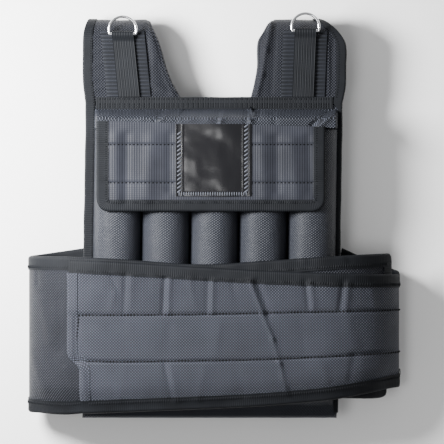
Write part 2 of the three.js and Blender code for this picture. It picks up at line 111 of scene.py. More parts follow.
def from_rows(rows, place, column):
    """Value of a table's column on a smooth curve through its rows"""
    if place <= rows[0][0]:
        return rows[0][column]
    if place >= rows[-1][0]:
        return rows[-1][column]
    after = next(i for i, row in enumerate(rows) if row[0] >= place)
    before = after - 1
    step = rows[after][0] - rows[before][0]
    share = (place - rows[before][0]) / step
    slopes = []
    for spot in (before, after):
        low = max(spot - 1, 0)
        high = min(spot + 1, len(rows) - 1)
        slopes.append((rows[high][column] - rows[low][column]) / (rows[high][0] - rows[low][0]) * step)
    square = share * share
    cube = square * share
    return (
        (2 * cube - 3 * square + 1) * rows[before][column]
        + (cube - 2 * square + share) * slopes[0]
        + (3 * square - 2 * cube) * rows[after][column]
        + (cube - square) * slopes[1]
    )


def wander(x, y, scale, seed):
    """Smooth noise between about -1 and 1"""
    return noise.noise(Vector((x / scale, y / scale, seed)))


# Colours and material nodes

def linear(colour):
    """Linear values of an sRGB hex colour"""
    values = [int(colour[start:start + 2], 16) / 255 for start in (1, 3, 5)]
    return tuple(v / 12.92 if v <= 0.04045 else ((v + 0.055) / 1.055) ** 2.4 for v in values) + (1.0,)


def set_inputs(tree, node, inputs):
    """Gives a node its input values or links"""
    for name, value in inputs.items():
        if isinstance(value, bpy.types.NodeSocket):
            tree.links.new(value, node.inputs[name])
        else:
            node.inputs[name].default_value = value


def add_node(tree, kind, inputs, **settings):
    """Adds a node with its settings and its input values or links"""
    made = tree.nodes.new(kind)
    for name, value in settings.items():
        setattr(made, name, value)
    set_inputs(tree, made, inputs)
    return made


def new_material(name):
    material = bpy.data.materials.new(name)
    material.use_nodes = True
    tree = material.node_tree
    surface = tree.nodes["Principled BSDF"]
    return material, tree, surface


def band_scale(period):
    """Scale of a Wave Texture whose bands lie one period apart"""
    return math.tau / (20 * period)


def thread_bands(tree, turn, period, direction="X"):
    """Bands of thread across the cloth, turned about its own face"""
    cloth = add_node(tree, "ShaderNodeUVMap", {}, uv_map="cloth")
    turned = add_node(
        tree, "ShaderNodeMapping", {"Vector": cloth.outputs["UV"], "Rotation": (0, 0, turn)}
    )
    bands = add_node(
        tree,
        "ShaderNodeTexWave",
        {"Vector": turned.outputs["Vector"], "Scale": band_scale(period)},
        wave_type="BANDS",
        bands_direction=direction,
    )
    return bands.outputs["Fac"]


def blotches(tree, scale, detail=3.0):
    """Soft uneven patches, as in handled cloth"""
    place = add_node(tree, "ShaderNodeTexCoord", {})
    patches = add_node(
        tree,
        "ShaderNodeTexNoise",
        {"Vector": place.outputs["Object"], "Scale": scale, "Detail": detail, "Roughness": 0.55},
    )
    return patches.outputs["Fac"]


def combine(tree, first, second, operation, is_clamped=False):
    """Two patterns, or a pattern and a number, put together"""
    inputs = {0: first, 1: second}
    done = add_node(tree, "ShaderNodeMath", inputs, operation=operation, use_clamp=is_clamped)
    return done.outputs[0]


def raised(tree, height, depth):
    """Relief of a pattern, so many metres deep"""
    bump = add_node(tree, "ShaderNodeBump", {"Height": height, "Distance": depth, "Strength": 1.0})
    return bump.outputs["Normal"]


def mix_colours(tree, share, dark, light):
    """A colour between two hex colours"""
    made = add_node(tree, "ShaderNodeMix", {"Factor": share}, data_type="RGBA")
    colours = [socket for socket in made.inputs if socket.type == "RGBA"]
    colours[0].default_value = linear(dark)
    colours[1].default_value = linear(light)
    return next(socket for socket in made.outputs if socket.type == "RGBA")


def oxford_nylon(name, dark, light, weave=3.2 * MM, depth=1.0 * MM, roughness=0.5, shine=0.15):
    """Coated oxford nylon: plain weave on the bias, threads that catch the light, handled patches.
    The real threads lie about 0.6 mm apart and are drawn coarser so that they show."""
    material, tree, surface = new_material(name)
    one = thread_bands(tree, math.radians(45), weave * math.sqrt(0.5))
    other = thread_bands(tree, math.radians(-45), weave * math.sqrt(0.5))
    threads = combine(tree, one, other, "MULTIPLY")
    patches = blotches(tree, 28)
    fine = blotches(tree, 700, 2.0)
    woven = combine(tree, threads, 1.5, "MULTIPLY")
    tone = combine(tree, woven, combine(tree, patches, 0.25, "MULTIPLY"), "ADD", True)
    relief = combine(tree, threads, combine(tree, fine, 0.3, "MULTIPLY"), "ADD")
    set_inputs(tree, surface, {
        "Base Color": mix_colours(tree, tone, dark, light),
        "Normal": raised(tree, relief, depth),
        "Roughness": roughness,
        "Specular IOR Level": shine,
    })
    return material


def ribbed_nylon(name, dark, light, rib=2.7 * MM, depth=0.14 * MM, roughness=0.5):
    """Nylon with fine ribs down its length over the plain weave"""
    material, tree, surface = new_material(name)
    ribs = thread_bands(tree, 0.0, rib)
    threads = thread_bands(tree, math.radians(90), rib * 0.8)
    patches = blotches(tree, 24)
    fine = blotches(tree, 600, 2.0)
    woven = combine(tree, ribs, combine(tree, threads, 0.4, "MULTIPLY"), "ADD")
    worn = combine(tree, patches, 0.7, "MULTIPLY")
    tone = combine(tree, combine(tree, woven, 0.2, "MULTIPLY"), worn, "ADD")
    relief = combine(tree, woven, combine(tree, fine, 0.4, "MULTIPLY"), "ADD")
    set_inputs(tree, surface, {
        "Base Color": mix_colours(tree, tone, dark, light),
        "Normal": raised(tree, relief, depth),
        "Roughness": roughness,
        "Specular IOR Level": 0.15,
    })
    return material


def woven_tape(name, dark, light, across=2.2 * MM, depth=0.16 * MM, turn=0.0, ribbed=0.25):
    """Grosgrain polyester tape: fine ribs of thread, matt. Ribbed is how much the ribs show in its colour,
    against the soft patches. Real ribs lie 0.8 mm apart and are drawn coarser so that they show."""
    material, tree, surface = new_material(name)
    ribs = thread_bands(tree, turn, across)
    fine = blotches(tree, 900, 2.0)
    patches = blotches(tree, 35)
    relief = combine(tree, ribs, fine, "ADD")
    even = combine(tree, patches, 1 - ribbed, "MULTIPLY")
    tone = combine(tree, combine(tree, ribs, ribbed, "MULTIPLY"), even, "ADD")
    set_inputs(tree, surface, {
        "Base Color": mix_colours(tree, tone, dark, light),
        "Normal": raised(tree, relief, depth),
        "Roughness": 0.65,
        "Specular IOR Level": 0.12,
    })
    return material


def glossy_vinyl():
    """Glossy black vinyl sheet: smooth, slightly rippled, a sharp soft-edged shine"""
    material, tree, surface = new_material("window_vinyl")
    set_inputs(tree, surface, {
        "Base Color": linear("#0b0b0e"),
        "Normal": raised(tree, blotches(tree, 45, 1.0), 1.2 * MM),
        "Roughness": 0.22,
        "IOR": 1.5,
    })
    return material


def chromed_wire():
    """Chromed steel wire: mirror bright with faint polishing marks"""
    material, tree, surface = new_material("ring_chrome")
    set_inputs(tree, surface, {
        "Base Color": linear("#e6e7ea"),
        "Normal": raised(tree, blotches(tree, 1500, 2.0), 0.01 * MM),
        "Metallic": 1.0,
        "Roughness": 0.12,
    })
    return material


def sewing_thread(name, dark, light):
    """Bonded polyester thread: dark, slightly glossy"""
    material, tree, surface = new_material(name)
    set_inputs(tree, surface, {
        "Base Color": mix_colours(tree, blotches(tree, 2500, 2.0), dark, light),
        "Roughness": 0.6,
        "Specular IOR Level": 0.15,
    })
    return material


def pale_floor():
    """Matt white paper sheet"""
    material, tree, surface = new_material("floor_paper")
    set_inputs(tree, surface, {
        "Base Color": mix_colours(tree, blotches(tree, 4, 2.0), "#fafafa", "#ffffff"),
        "Roughness": 0.9,
    })
    return material


# One charcoal nylon, a little darker on the shoulders and the inner wing, where the darker colour is
# painted shade, and smoother with more shine on the pockets, where it is pulled tight
NYLON = oxford_nylon("body_nylon", "#08090b", "#43464f")
NYLON_POCKET = oxford_nylon("pocket_nylon", "#0d0e12", "#373a42", 2.8 * MM, 0.6 * MM, 0.42, 0.24)
NYLON_SHOULDER_PAINTED_SHADE = oxford_nylon("shoulder_nylon", "#07080a", "#2f3139")
NYLON_INNER_PAINTED_SHADE = oxford_nylon("inner_wing_nylon", "#08090b", "#31333b")
NYLON_FLAP = ribbed_nylon("flap_nylon", "#111216", "#31333b")
NYLON_BELT = oxford_nylon("belt_nylon", "#0a0b0d", "#4c4f5a")
# Webbing, the ladder webbing with its rungs, and the softer binding tape
RUNG_PITCH = 4.1 * MM
WEBBING = woven_tape("strap_webbing", "#07080a", "#1b1d21", across=1.8 * MM)
# The ladder's colour bands follow its rungs' weave, and their darker parts are painted shade in the grooves
# between the rungs
LADDER = woven_tape(
    "ladder_webbing", "#050607", "#25272d", across=RUNG_PITCH, depth=0.2 * MM, turn=math.pi / 2, ribbed=0.45
)
BINDING = woven_tape("binding_tape", "#060709", "#1a1c20")
VINYL = glossy_vinyl()
CHROME = chromed_wire()
# Black thread for the seams, dark grey on the tapes, paler satin round the window, whose paleness is a
# painted sheen
THREAD = sewing_thread("seam_thread", "#050608", "#0e0f12")
TAPE_THREAD = sewing_thread("tape_thread", "#0c0d10", "#1c1e22")
SATIN_PAINTED_SHEEN = sewing_thread("satin_thread", "#2a2c32", "#5a5d66")


# Making pieces

def pick(piece):
    """Selects one piece alone"""
    bpy.ops.object.select_all(action="DESELECT")
    piece.select_set(True)
    bpy.context.view_layer.objects.active = piece


def finish_piece(piece, name, material, replaced=(), body="vest", angle=60):
    """Names a finished piece, gives it its material and lets it ride on its body"""
    piece.name = name
    piece.data.name = name
    piece.data.materials.clear()
    piece.data.materials.append(material)
    pick(piece)
    bpy.ops.object.shade_smooth_by_angle(angle=math.radians(angle))
    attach(piece, body)
    if replaced:
        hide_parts(*replaced)
    return piece


def cloth_block(steps_along, steps_across, place):
    """A grid of cloth with a thickness: place(u, v, level) gives a point and its spot on the flat cloth"""
    bpy.ops.object.select_all(action="DESELECT")
    bpy.ops.mesh.primitive_grid_add(x_subdivisions=steps_along, y_subdivisions=steps_across, size=2)
    piece = bpy.context.object
    bpy.ops.object.mode_set(mode="EDIT")
    bpy.ops.mesh.select_all(action="SELECT")
    bpy.ops.mesh.extrude_region_move(TRANSFORM_OT_translate={"value": (0, 0, 1)})
    bpy.ops.mesh.select_all(action="DESELECT")
    bpy.ops.object.mode_set(mode="OBJECT")
    mesh = piece.data
    spots = []
    for vertex in mesh.vertices:
        u = (vertex.co.x + 1) / 2
        v = (vertex.co.y + 1) / 2
        point, spot = place(u, v, round(vertex.co.z))
        vertex.co = point
        spots.append(spot)
    while mesh.uv_layers:
        mesh.uv_layers.remove(mesh.uv_layers[0])
    layer = mesh.uv_layers.new(name="cloth")
    for loop in mesh.loops:
        layer.data[loop.index].uv = spots[loop.vertex_index]
    bpy.ops.object.mode_set(mode="EDIT")
    bpy.ops.mesh.select_all(action="SELECT")
    bpy.ops.mesh.normals_make_consistent(inside=False)
    bpy.ops.object.mode_set(mode="OBJECT")
    return piece


FILL_PRESSURE = 4
FILL_FRAMES = 20


def puffed(piece, cap):
    """Blows a pad up by a short cloth simulation, each point moving at most as far as the cap"""
    start = [vertex.co.copy() for vertex in piece.data.vertices]
    cloth = piece.modifiers.new("filling", "CLOTH")
    cloth.settings.use_pressure = True
    cloth.settings.uniform_pressure_force = FILL_PRESSURE
    cloth.settings.effector_weights.gravity = 0
    for frame_number in range(1, FILL_FRAMES + 1):
        bpy.context.scene.frame_set(frame_number)
    pick(piece)
    bpy.ops.object.modifier_apply(modifier="filling")
    bpy.context.scene.frame_set(1)
    for vertex, place in zip(piece.data.vertices, start):
        move = vertex.co - place
        if move.length > cap:
            move *= cap / move.length
        vertex.co = place + move
        vertex.co.z = max(vertex.co.z, 0.0)


def along_line(points, spacing):
    """Even places on a line of flat points, each with its direction"""
    lengths = [0.0]
    for first, second in zip(points, points[1:]):
        lengths.append(lengths[-1] + math.dist(first, second))
    count = max(int(lengths[-1] / spacing), 1)
    found = []
    for index in range(count + 1):
        goal = lengths[-1] * index / count
        part = next(i for i in range(1, len(lengths)) if lengths[i] >= goal - 1e-9)
        share = (goal - lengths[part - 1]) / max(lengths[part] - lengths[part - 1], 1e-9)
        first, second = points[part - 1], points[part]
        spot = tuple(mix(a, b, share) for a, b in zip(first, second))
        size = math.dist(first, second)
        found.append((spot, ((second[0] - first[0]) / size, (second[1] - first[1]) / size)))
    return found


def rounded_line(points, radius, steps=6):
    """A line of flat points with its corners cut round"""
    done = [points[0]]
    for before, corner, after in zip(points, points[1:], points[2:]):
        toward = min(radius, math.dist(before, corner) / 2) / math.dist(before, corner)
        away = min(radius, math.dist(corner, after) / 2) / math.dist(corner, after)
        start = [mix(c, b, toward) for c, b in zip(corner, before)]
        end = [mix(c, a, away) for c, a in zip(corner, after)]
        for step in range(steps + 1):
            share = step / steps
            left = [mix(s, c, share) for s, c in zip(start, corner)]
            right = [mix(c, e, share) for c, e in zip(corner, end)]
            done.append(tuple(mix(a, b, share) for a, b in zip(left, right)))
    done.append(points[-1])
    return done


def bound_edge(line, surface, width, half, thick, inward=1, steps=24, spacing=3 * MM, ripple=0.0):
    """Tape folded over an edge: line is the edge on the flat cloth, surface(a, b, lift) its place"""
    spots = along_line(line, spacing)
    count = len(spots) - 1

    def place(u, v, level):
        index = min(round(u * count), count)
        spot, direction = spots[index]
        before = spots[max(index - 1, 0)][1]
        turn = (direction[0] + before[0], direction[1] + before[1])
        size = math.hypot(*turn) or 1.0
        across = (-turn[1] / size * inward, turn[0] / size * inward)
        arc = math.pi * half
        total = 2 * width + arc
        run = v * total
        lift = half + thick * level
        if run < width:
            depth, height = width - run, -lift
        elif run > width + arc:
            depth, height = run - width - arc, lift
        else:
            angle = (run - width) / half
            depth, height = -math.sin(angle) * lift, -math.cos(angle) * lift
        wave = ripple * wander(spot[0], spot[1], 12 * MM, 3.1) * clamp(depth / width)
        point = surface(spot[0] + across[0] * depth, spot[1] + across[1] * depth, height + wave)
        return point, (index * spacing, run)

    return cloth_block(count, steps, place)


STITCH_BARREL = 0.6
STITCH_RISE = 0.1
UPRIGHT = math.radians(80)


def single_stitch():
    """One stitch along X, 1 long, wide and high: a four-sided barrel whose ends are drawn out to tips"""
    bpy.ops.object.select_all(action="DESELECT")
    bpy.ops.mesh.primitive_cylinder_add(
        vertices=4, radius=0.5, depth=STITCH_BARREL, end_fill_type="TRIFAN", calc_uvs=False,
        location=(0, 0, STITCH_RISE), rotation=(0, math.pi / 2, 0),
    )
    stitch = bpy.context.object
    bpy.ops.object.transform_apply(location=True, rotation=True, scale=True)
    for vertex in stitch.data.vertices:
        if math.hypot(vertex.co.y, vertex.co.z - STITCH_RISE) < 0.01:
            vertex.co = (math.copysign(0.5, vertex.co.x), 0, 0)
    return stitch


def stitch_rows(name, rows, thread, length=2.6 * MM, width=0.9 * MM, pitch=3.7 * MM, turn=0.0):
    """Rows of stitches: each row is (line, surface, lift), and turn slants each stitch on its row"""
    piece = single_stitch()
    sewn = bmesh.new()
    for line, surface, lift in rows:
        for spot, direction in along_line(line, pitch):
            middle = Vector(surface(spot[0], spot[1], lift))
            ahead = Vector(surface(spot[0] + direction[0] * MM, spot[1] + direction[1] * MM, lift))
            above = Vector(surface(spot[0], spot[1], lift + MM))
            forward = (ahead - middle).normalized()
            up = (above - middle).normalized()
            side = up.cross(forward).normalized()
            forward, side = (
                forward * math.cos(turn) + side * math.sin(turn),
                side * math.cos(turn) - forward * math.sin(turn),
            )
            placed = Matrix((forward * length, side * width, up * width)).transposed().to_4x4()
            placed.translation = middle
            stitch = piece.data.copy()
            stitch.transform(placed)
            sewn.from_mesh(stitch, face_normals=False, vertex_normals=False)
            bpy.data.meshes.remove(stitch)
    sewn.to_mesh(piece.data)
    sewn.free()
    return finish_piece(piece, name, thread, angle=80)


# Outline of the body and the straps

# Share of the way from the neckline to the fold, then the strap's inner and outer edge as shares of the
# body's half width
STRAP_ROWS = {
    "left": (
        (0.0, 0.257, 1.0), (0.08, 0.267, 1.008), (0.23, 0.322, 1.021), (0.44, 0.377, 1.023),
        (0.66, 0.416, 1.023), (0.87, 0.464, 1.016), (0.96, 0.485, 1.0), (1.0, 0.497, 0.985),
    ),
    "right": (
        (0.0, 0.286, 1.0), (0.08, 0.291, 1.012), (0.23, 0.314, 1.026), (0.44, 0.338, 1.029),
        (0.66, 0.338, 1.029), (0.76, 0.348, 1.012), (0.87, 0.385, 0.96), (0.96, 0.415, 0.89),
        (1.0, 0.44, 0.84),
    ),
}
SIGN = {"left": -1, "right": 1}


def body_edge(sign, height):
    """Side edge of the panels at a height above the hem; the hem is skewed to the left"""
    return sign * BODY_HALF - HEM_SKEW * (1 - height / SEAM)


def strap_edge(side, height, column):
    """Inner or outer edge of a shoulder strap, by the column of its table"""
    share = (height - SEAM) / (FOLD_HEIGHT - SEAM)
    return SIGN[side] * BODY_HALF * from_rows(STRAP_ROWS[side], clamp(share), column)


def outer_edge(side, height):
    if height <= SEAM:
        return body_edge(SIGN[side], height)
    return strap_edge(side, height, 2)


def over_fold(along):
    """Height above the hem, level and outward direction on the way over the shoulder fold"""
    past = along - FOLD_CENTRE
    turn = math.pi * FOLD_RADIUS
    if past <= 0:
        return along, FRONT_TOP, 0.0, 1.0
    if past >= turn:
        return FOLD_CENTRE - (past - turn), 0.0, 0.0, -1.0
    angle = past / FOLD_RADIUS
    return (
        FOLD_CENTRE + FOLD_RADIUS * math.sin(angle),
        FOLD_RADIUS * (1 + math.cos(angle)),
        math.sin(angle),
        math.cos(angle),
    )


def front_skin(across, along, lift):
    """A point on the vest's outside, up the front and over the shoulder"""
    height, level, out, up = over_fold(along)
    return (across, HEM + height + out * lift, level + up * lift)


def pad_rim(share, size, radius):
    """How full a pad is near its edge, from 0 at the rim to 1 one radius in"""
    near = min(share, 1 - share) * size
    if near >= radius:
        return 1.0
    return math.sqrt(max(1 - (1 - near / radius) ** 2, 0.0))


def folds(rows, x, height):
    """Sum of the folds of a table at a place: each is a soft ridge along a line"""
    total = 0.0
    for row in rows:
        start = seen(row[0], row[1])
        end = seen(row[2], row[3])
        run = (end[0] - start[0], end[1] - start[1])
        size = math.hypot(*run)
        along = ((x - start[0]) * run[0] + (height - start[1]) * run[1]) / size
        aside = ((x - start[0]) * run[1] - (height - start[1]) * run[0]) / size
        past = max(-along, along - size, 0.0)
        total += row[5] * MM * bell(aside, row[4] * MM) * bell(past, row[4] * MM)
    return total


SHOULDER_FOLDS = (
    # Column and row where a fold starts and ends, its width and its height in millimetres
    (272, 20, 266, 50, 3.2, 2.0),
    (266, 50, 262, 75, 3.0, 1.8),
    (262, 75, 257, 95, 3.0, 1.8),
    (276, 26, 271, 92, 3.0, -0.8),
    (328, 44, 330, 92, 1.6, 0.9),
    (333, 30, 331, 94, 1.6, -0.9),
    (91, 38, 104, 33, 2.4, 0.9),
    (91, 52, 103, 49, 2.0, 0.8),
    (92, 66, 104, 62, 2.2, 0.9),
    (92, 79, 105, 77, 2.0, 0.8),
    (93, 90, 106, 86, 2.4, 0.9),
    (150, 30, 156, 62, 4.0, 0.9),
    (158, 62, 168, 92, 4.0, -0.8),
    (152, 84, 172, 94, 3.0, 0.9),
    (146, 40, 152, 92, 2.4, -0.7),
)
PIPING = 3.5 * MM
PIPING_GROOVE = 1.1 * MM
RIM_THICKNESS = 0.12


def shoulder_pad(side):
    """Padded strap from the chest over the fold to the back"""
    start = SEAM + GAP
    end = FOLD_CENTRE + math.pi * FOLD_RADIUS + (FOLD_CENTRE - start)
    radius = 5 * MM
    end_radius = 2 * MM

    def place(u, v, level):
        along = mix(start, end, u)
        height, _, _, up = over_fold(along)
        inner = strap_edge(side, height, 1)
        outer = strap_edge(side, height, 2)
        share = crowded(v)
        across = mix(inner, outer, share)
        full = pad_rim(share, abs(outer - inner), radius) * pad_rim(u, end - start, end_radius)
        bulge = 0.7 * MM * wander(across, along, 26 * MM, 5.3)
        if along < FOLD_CENTRE + FOLD_RADIUS:
            bulge += folds(SHOULDER_FOLDS, across, height)
        bulge *= ease(up + 1)
        bulge -= PIPING_GROOVE * bell(abs(across - inner) - PIPING, PIPING_GROOVE)
        lift = mix(-PAD, 0, 0.5 + (level - 0.5) * mix(RIM_THICKNESS, 1, full)) + bulge * full * level
        return front_skin(across, along, lift), (across, along)

    piece = cloth_block(130, 60, place)
    # The shoulder's darker nylon is painted shade
    finish_piece(piece, f"shoulder_cover_{side}", NYLON_SHOULDER_PAINTED_SHADE, (f"shoulder_{side}",))
    return piece


# The front panel with its gathered crest

CREST_START = POCKET_TOP + 1.3 * MM
CREST_END = POCKET_TOP + 22.3 * MM
CREST_FLAT = 9 * MM

GATHERS = (
    # Column and row where a fold starts and ends, its width and its height in millimetres
    (156, 120, 164, 110, 2.2, -2.6),
    (161, 121, 168, 111, 2.6, 2.0),
    (176, 121, 184, 110, 2.6, -1.6),
    (190, 121, 196, 111, 3.0, 1.4),
    (208, 122, 206, 111, 3.0, 1.3),
    (217, 123, 219, 110, 2.0, -2.4),
    (221, 124, 224, 111, 2.4, 2.6),
    (246, 126, 247, 111, 2.4, -2.2),
    (250, 126, 253, 111, 2.6, 2.8),
    (258, 118, 260, 111, 2.2, -2.0),
    (275, 124, 273, 112, 2.6, -1.4),
    (311, 126, 331, 110, 2.4, -3.0),
    (318, 128, 334, 113, 2.8, 2.4),
    (120, 117, 126, 112, 2.4, -1.4),
    (103, 118, 112, 112, 3.0, 1.2),
    (142, 119, 150, 111, 3.0, 1.2),
)


def crest_height(height):
    """How far the crest over the pockets' upper ends stands above the front panel"""
    top = POCKET_CROWN - FRONT_TOP
    if height <= CREST_START - MM or height >= CREST_END:
        return 0.0
    if height < CREST_START:
        return top * ease((height - CREST_START + MM) / MM)
    if height < CREST_START + CREST_FLAT:
        return top
    share = (CREST_END - height) / (CREST_END - CREST_START - CREST_FLAT)
    return top * math.sin(share * math.pi / 2) ** 1.2


def front_cover():
    """Padded front panel: its neck edge, the crest and the gathers sewn into it"""
    neck_left = strap_edge("left", SEAM, 1) + GAP
    neck_right = strap_edge("right", SEAM, 1) - GAP
    rim = 4 * MM

    def place(u, v, level):
        share = crowded(v)
        guess = mix(0, NECK, u)
        left = body_edge(-1, guess)
        right = body_edge(1, guess)
        x = mix(left, right, share)
        in_neck = ease((x - neck_left) / (2 * MM) + 1) * ease((neck_right - x) / (2 * MM) + 1)
        top = mix(SEAM, NECK, in_neck)
        height = mix(0, top, u)
        full = pad_rim(share, right - left, rim) * pad_rim(u, top, 3 * MM)
        inside = min(x - left - POCKET_LEFT, right - POCKET_RIGHT - x)
        relief = crest_height(height) * ease((inside + 0.5 * MM) / (3 * MM))
        if height > CREST_START - 4 * MM:
            relief += folds(GATHERS, x, height) * ease((SEAM - BAND / 2 - height) / (3 * MM))
        low = FRONT_TOP - PAD
        middle = mix(low, FRONT_TOP, 0.5)
        if level:
            z = middle + (FRONT_TOP - middle) * mix(0.1, 1, full) + relief
        else:
            z = middle - (middle - low) * mix(0.1, 1, full)
        return (x, HEM + height, z), (x, height + relief)

    piece = cloth_block(236, 150, place)
    finish_piece(piece, "front_cover", NYLON, ("front_panel",))
    return piece


def back_cover():
    """Padded back panel under the vest"""
    low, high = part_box("back_panel")
    foot = low[1] - HEM

    def place(u, v, level):
        share = crowded(v)
        height = mix(foot, SEAM, crowded(u))
        left = body_edge(-1, height)
        right = body_edge(1, height)
        x = mix(left, right, share)
        full = pad_rim(share, right - left, 4 * MM) * pad_rim(crowded(u), SEAM - foot, 4 * MM)
        z = PAD / 2 + (level - 0.5) * PAD * mix(RIM_THICKNESS, 1, full)
        return (x, HEM + height, z), (x, height)

    piece = cloth_block(90, 80, place)
    puffed(piece, 1.5 * MM)
    finish_piece(piece, "back_cover", NYLON, ("back_panel",))
    return piece


# Weight pockets

POCKET_LEFT = 9 * MM
POCKET_RIGHT = 3.8 * MM
POCKET_PITCH = (2 * BODY_HALF - POCKET_LEFT - POCKET_RIGHT) / 5


def pocket_edge(index, height):
    return body_edge(-1, height) + POCKET_LEFT + index * POCKET_PITCH


def weight_pocket(index):
    """A filled tube pocket, tight round its weight, drawn in at both ends"""

    def place(u, v, level):
        height = mix(POCKET_FOOT, POCKET_TOP, u)
        left = pocket_edge(index, height) + GAP
        right = pocket_edge(index + 1, height) - GAP
        angle = math.pi * (1 - v)
        reach = math.copysign(abs(math.cos(angle)) ** 0.92, math.cos(angle))
        x = (left + right) / 2 + (right - left) / 2 * reach
        rise = POCKET_CROWN - POCKET_BASE - 0.6 * MM
        end = ease(u / 0.06) * 0.65 + 0.35
        dent = 0.5 * MM * wander(x * 2, height, 30 * MM, index + 0.5)
        dent += 0.25 * MM * wander(x, height, 9 * MM, index)
        if level:
            z = POCKET_BASE + 1 * MM + (rise - 1 * MM) * end * math.sin(angle) ** 0.85
            z += dent * math.sin(angle)
            z = min(z, POCKET_CROWN + 0.1 * MM)
        else:
            z = POCKET_BASE
        return (x, HEM + height, z), (angle * POCKET_PITCH * 0.42, height)

    piece = cloth_block(150, 44, place)
    name = f"pocket_cover_{index + 1}"
    finish_piece(piece, name, NYLON_POCKET, (f"weight_pocket_{index + 1}",), angle=75)
    return piece


# The flap

FLAP_LEFT = FLAP_LOW[0]
FLAP_RIGHT = FLAP_HIGH[0]
FLAP_TOP = FLAP_HIGH[1] - HEM
FLAP_FOOT = FLAP_LOW[1] - HEM
FLAP_THICK = FLAP_HIGH[2] - FLAP_LOW[2]
FLAP_TILT = 6.5 * MM
FLAP_TAPE = 11 * MM
FLAP_SEAMS = (seen(0, 145)[1], seen(0, 183)[1])


def flap_top(x):
    """The flap's upper edge, which falls to the right"""
    return FLAP_TOP - FLAP_TILT * (x - FLAP_LEFT) / (FLAP_RIGHT - FLAP_LEFT)


FLAP_WAVES = (
    # Column and row where a wave starts and ends, its width and its height in millimetres
    (116, 138, 117, 200, 7.0, 1.3),
    (127, 136, 126, 200, 5.0, -1.0),
    (152, 140, 148, 196, 9.0, 1.4),
    (170, 136, 170, 190, 5.0, -1.0),
    (262, 140, 264, 196, 7.0, 1.3),
    (276, 138, 277, 190, 5.0, -1.0),
    (292, 142, 296, 196, 7.0, 1.0),
    (308, 138, 310, 190, 5.0, -0.9),
)


def flap_relief(x, height):
    """The flap's waves over the pockets and the two seams that quilt it"""
    quilt = sum(bell(height - seam, 1.5 * MM) for seam in FLAP_SEAMS)
    return folds(FLAP_WAVES, x, height) - 0.9 * MM * quilt + 0.5 * MM * wander(x, height, 35 * MM, 8.8)


def flap_skin(x, height, lift):
    """A point on the flap; its underside stays flat on the pockets"""
    middle = FLAP_LOW[2] + FLAP_THICK / 2
    return (x, HEM + height, middle + lift + flap_relief(x, height) * clamp(lift / MM))


def flap_cover():
    """The flap's cloth, cut round at its lower corners"""
    inset = 2.2 * MM

    def place(u, v, level):
        x = mix(FLAP_LEFT + inset, FLAP_RIGHT - inset, v)
        corner = 11 * MM
        near = min(x - FLAP_LEFT - inset, FLAP_RIGHT - inset - x)
        cut = corner - math.sqrt(max(corner ** 2 - (corner - min(near, corner)) ** 2, 0))
        height = mix(FLAP_FOOT + inset + cut, flap_top(x), u)
        lift = (level - 0.5) * FLAP_THICK * 0.8
        return flap_skin(x, height, lift), (x, height)

    piece = cloth_block(90, 180, place)
    return finish_piece(piece, "flap_cover", NYLON_FLAP, ("flap",))


def flap_edge_line():
    inset = 1.6 * MM
    corners = [
        (FLAP_LEFT + inset, flap_top(FLAP_LEFT)),
        (FLAP_LEFT + inset, FLAP_FOOT + inset),
        (FLAP_RIGHT - inset, FLAP_FOOT + inset),
        (FLAP_RIGHT - inset, flap_top(FLAP_RIGHT)),
    ]
    return rounded_line(corners, 14 * MM, 10)


def flap_tape():
    """Tape folded over the flap's edge"""
    half = FLAP_THICK / 2 * 0.8
    piece = bound_edge(flap_edge_line(), flap_skin, FLAP_TAPE, half, 0.8 * MM, inward=1, ripple=0.3 * MM)
    return finish_piece(piece, "flap_tape", BINDING, ("flap_binding",))


# Columns and rows of the photograph where the window's sewn borders run
WINDOW_LEFT_EDGES = (seen(176.5, 0)[0], seen(182.5, 0)[0])
WINDOW_RIGHT_EDGES = (seen(243, 0)[0], seen(249.5, 0)[0])
WINDOW_FOOT_EDGE = seen(0, 193.5)[1]


def window_relief(x, height):
    """The window's rolled borders and its slack middle"""
    rolled = sum(bell(x - edge, 0.9 * MM) for edge in WINDOW_LEFT_EDGES + WINDOW_RIGHT_EDGES)
    rolled += bell(height - WINDOW_FOOT_EDGE, 0.9 * MM)
    middle = (WINDOW_LEFT_EDGES[1] + WINDOW_RIGHT_EDGES[0]) / 2
    half = (WINDOW_RIGHT_EDGES[0] - WINDOW_LEFT_EDGES[1]) / 2
    reach = clamp(1 - ((x - middle) / half) ** 2)
    sag = 2.2 * MM * reach * (0.6 + 0.6 * wander(x, height * 1.4, 34 * MM, 9.2))
    return 0.45 * MM * rolled + sag


def window_skin(x, height, lift):
    base = FLAP_LOW[2] + FLAP_THICK + 0.1 * MM
    return (x, HEM + height, base + lift + window_relief(x, height))


def window_sheet():
    """Bare glossy window on the flap"""
    left, right = WINDOW_LOW[0], WINDOW_HIGH[0]
    foot, top = WINDOW_LOW[1] - HEM, WINDOW_HIGH[1] - HEM

    def place(u, v, level):
        x = mix(left, right, v)
        height = mix(foot, top, u)
        if not level:
            return (x, HEM + height, FLAP_LOW[2] + FLAP_THICK * 0.85), (x, height)
        return window_skin(x, height, 0.3 * MM), (x, height)

    piece = cloth_block(70, 110, place)
    return finish_piece(piece, "window_sheet", VINYL, ("window_patch",))


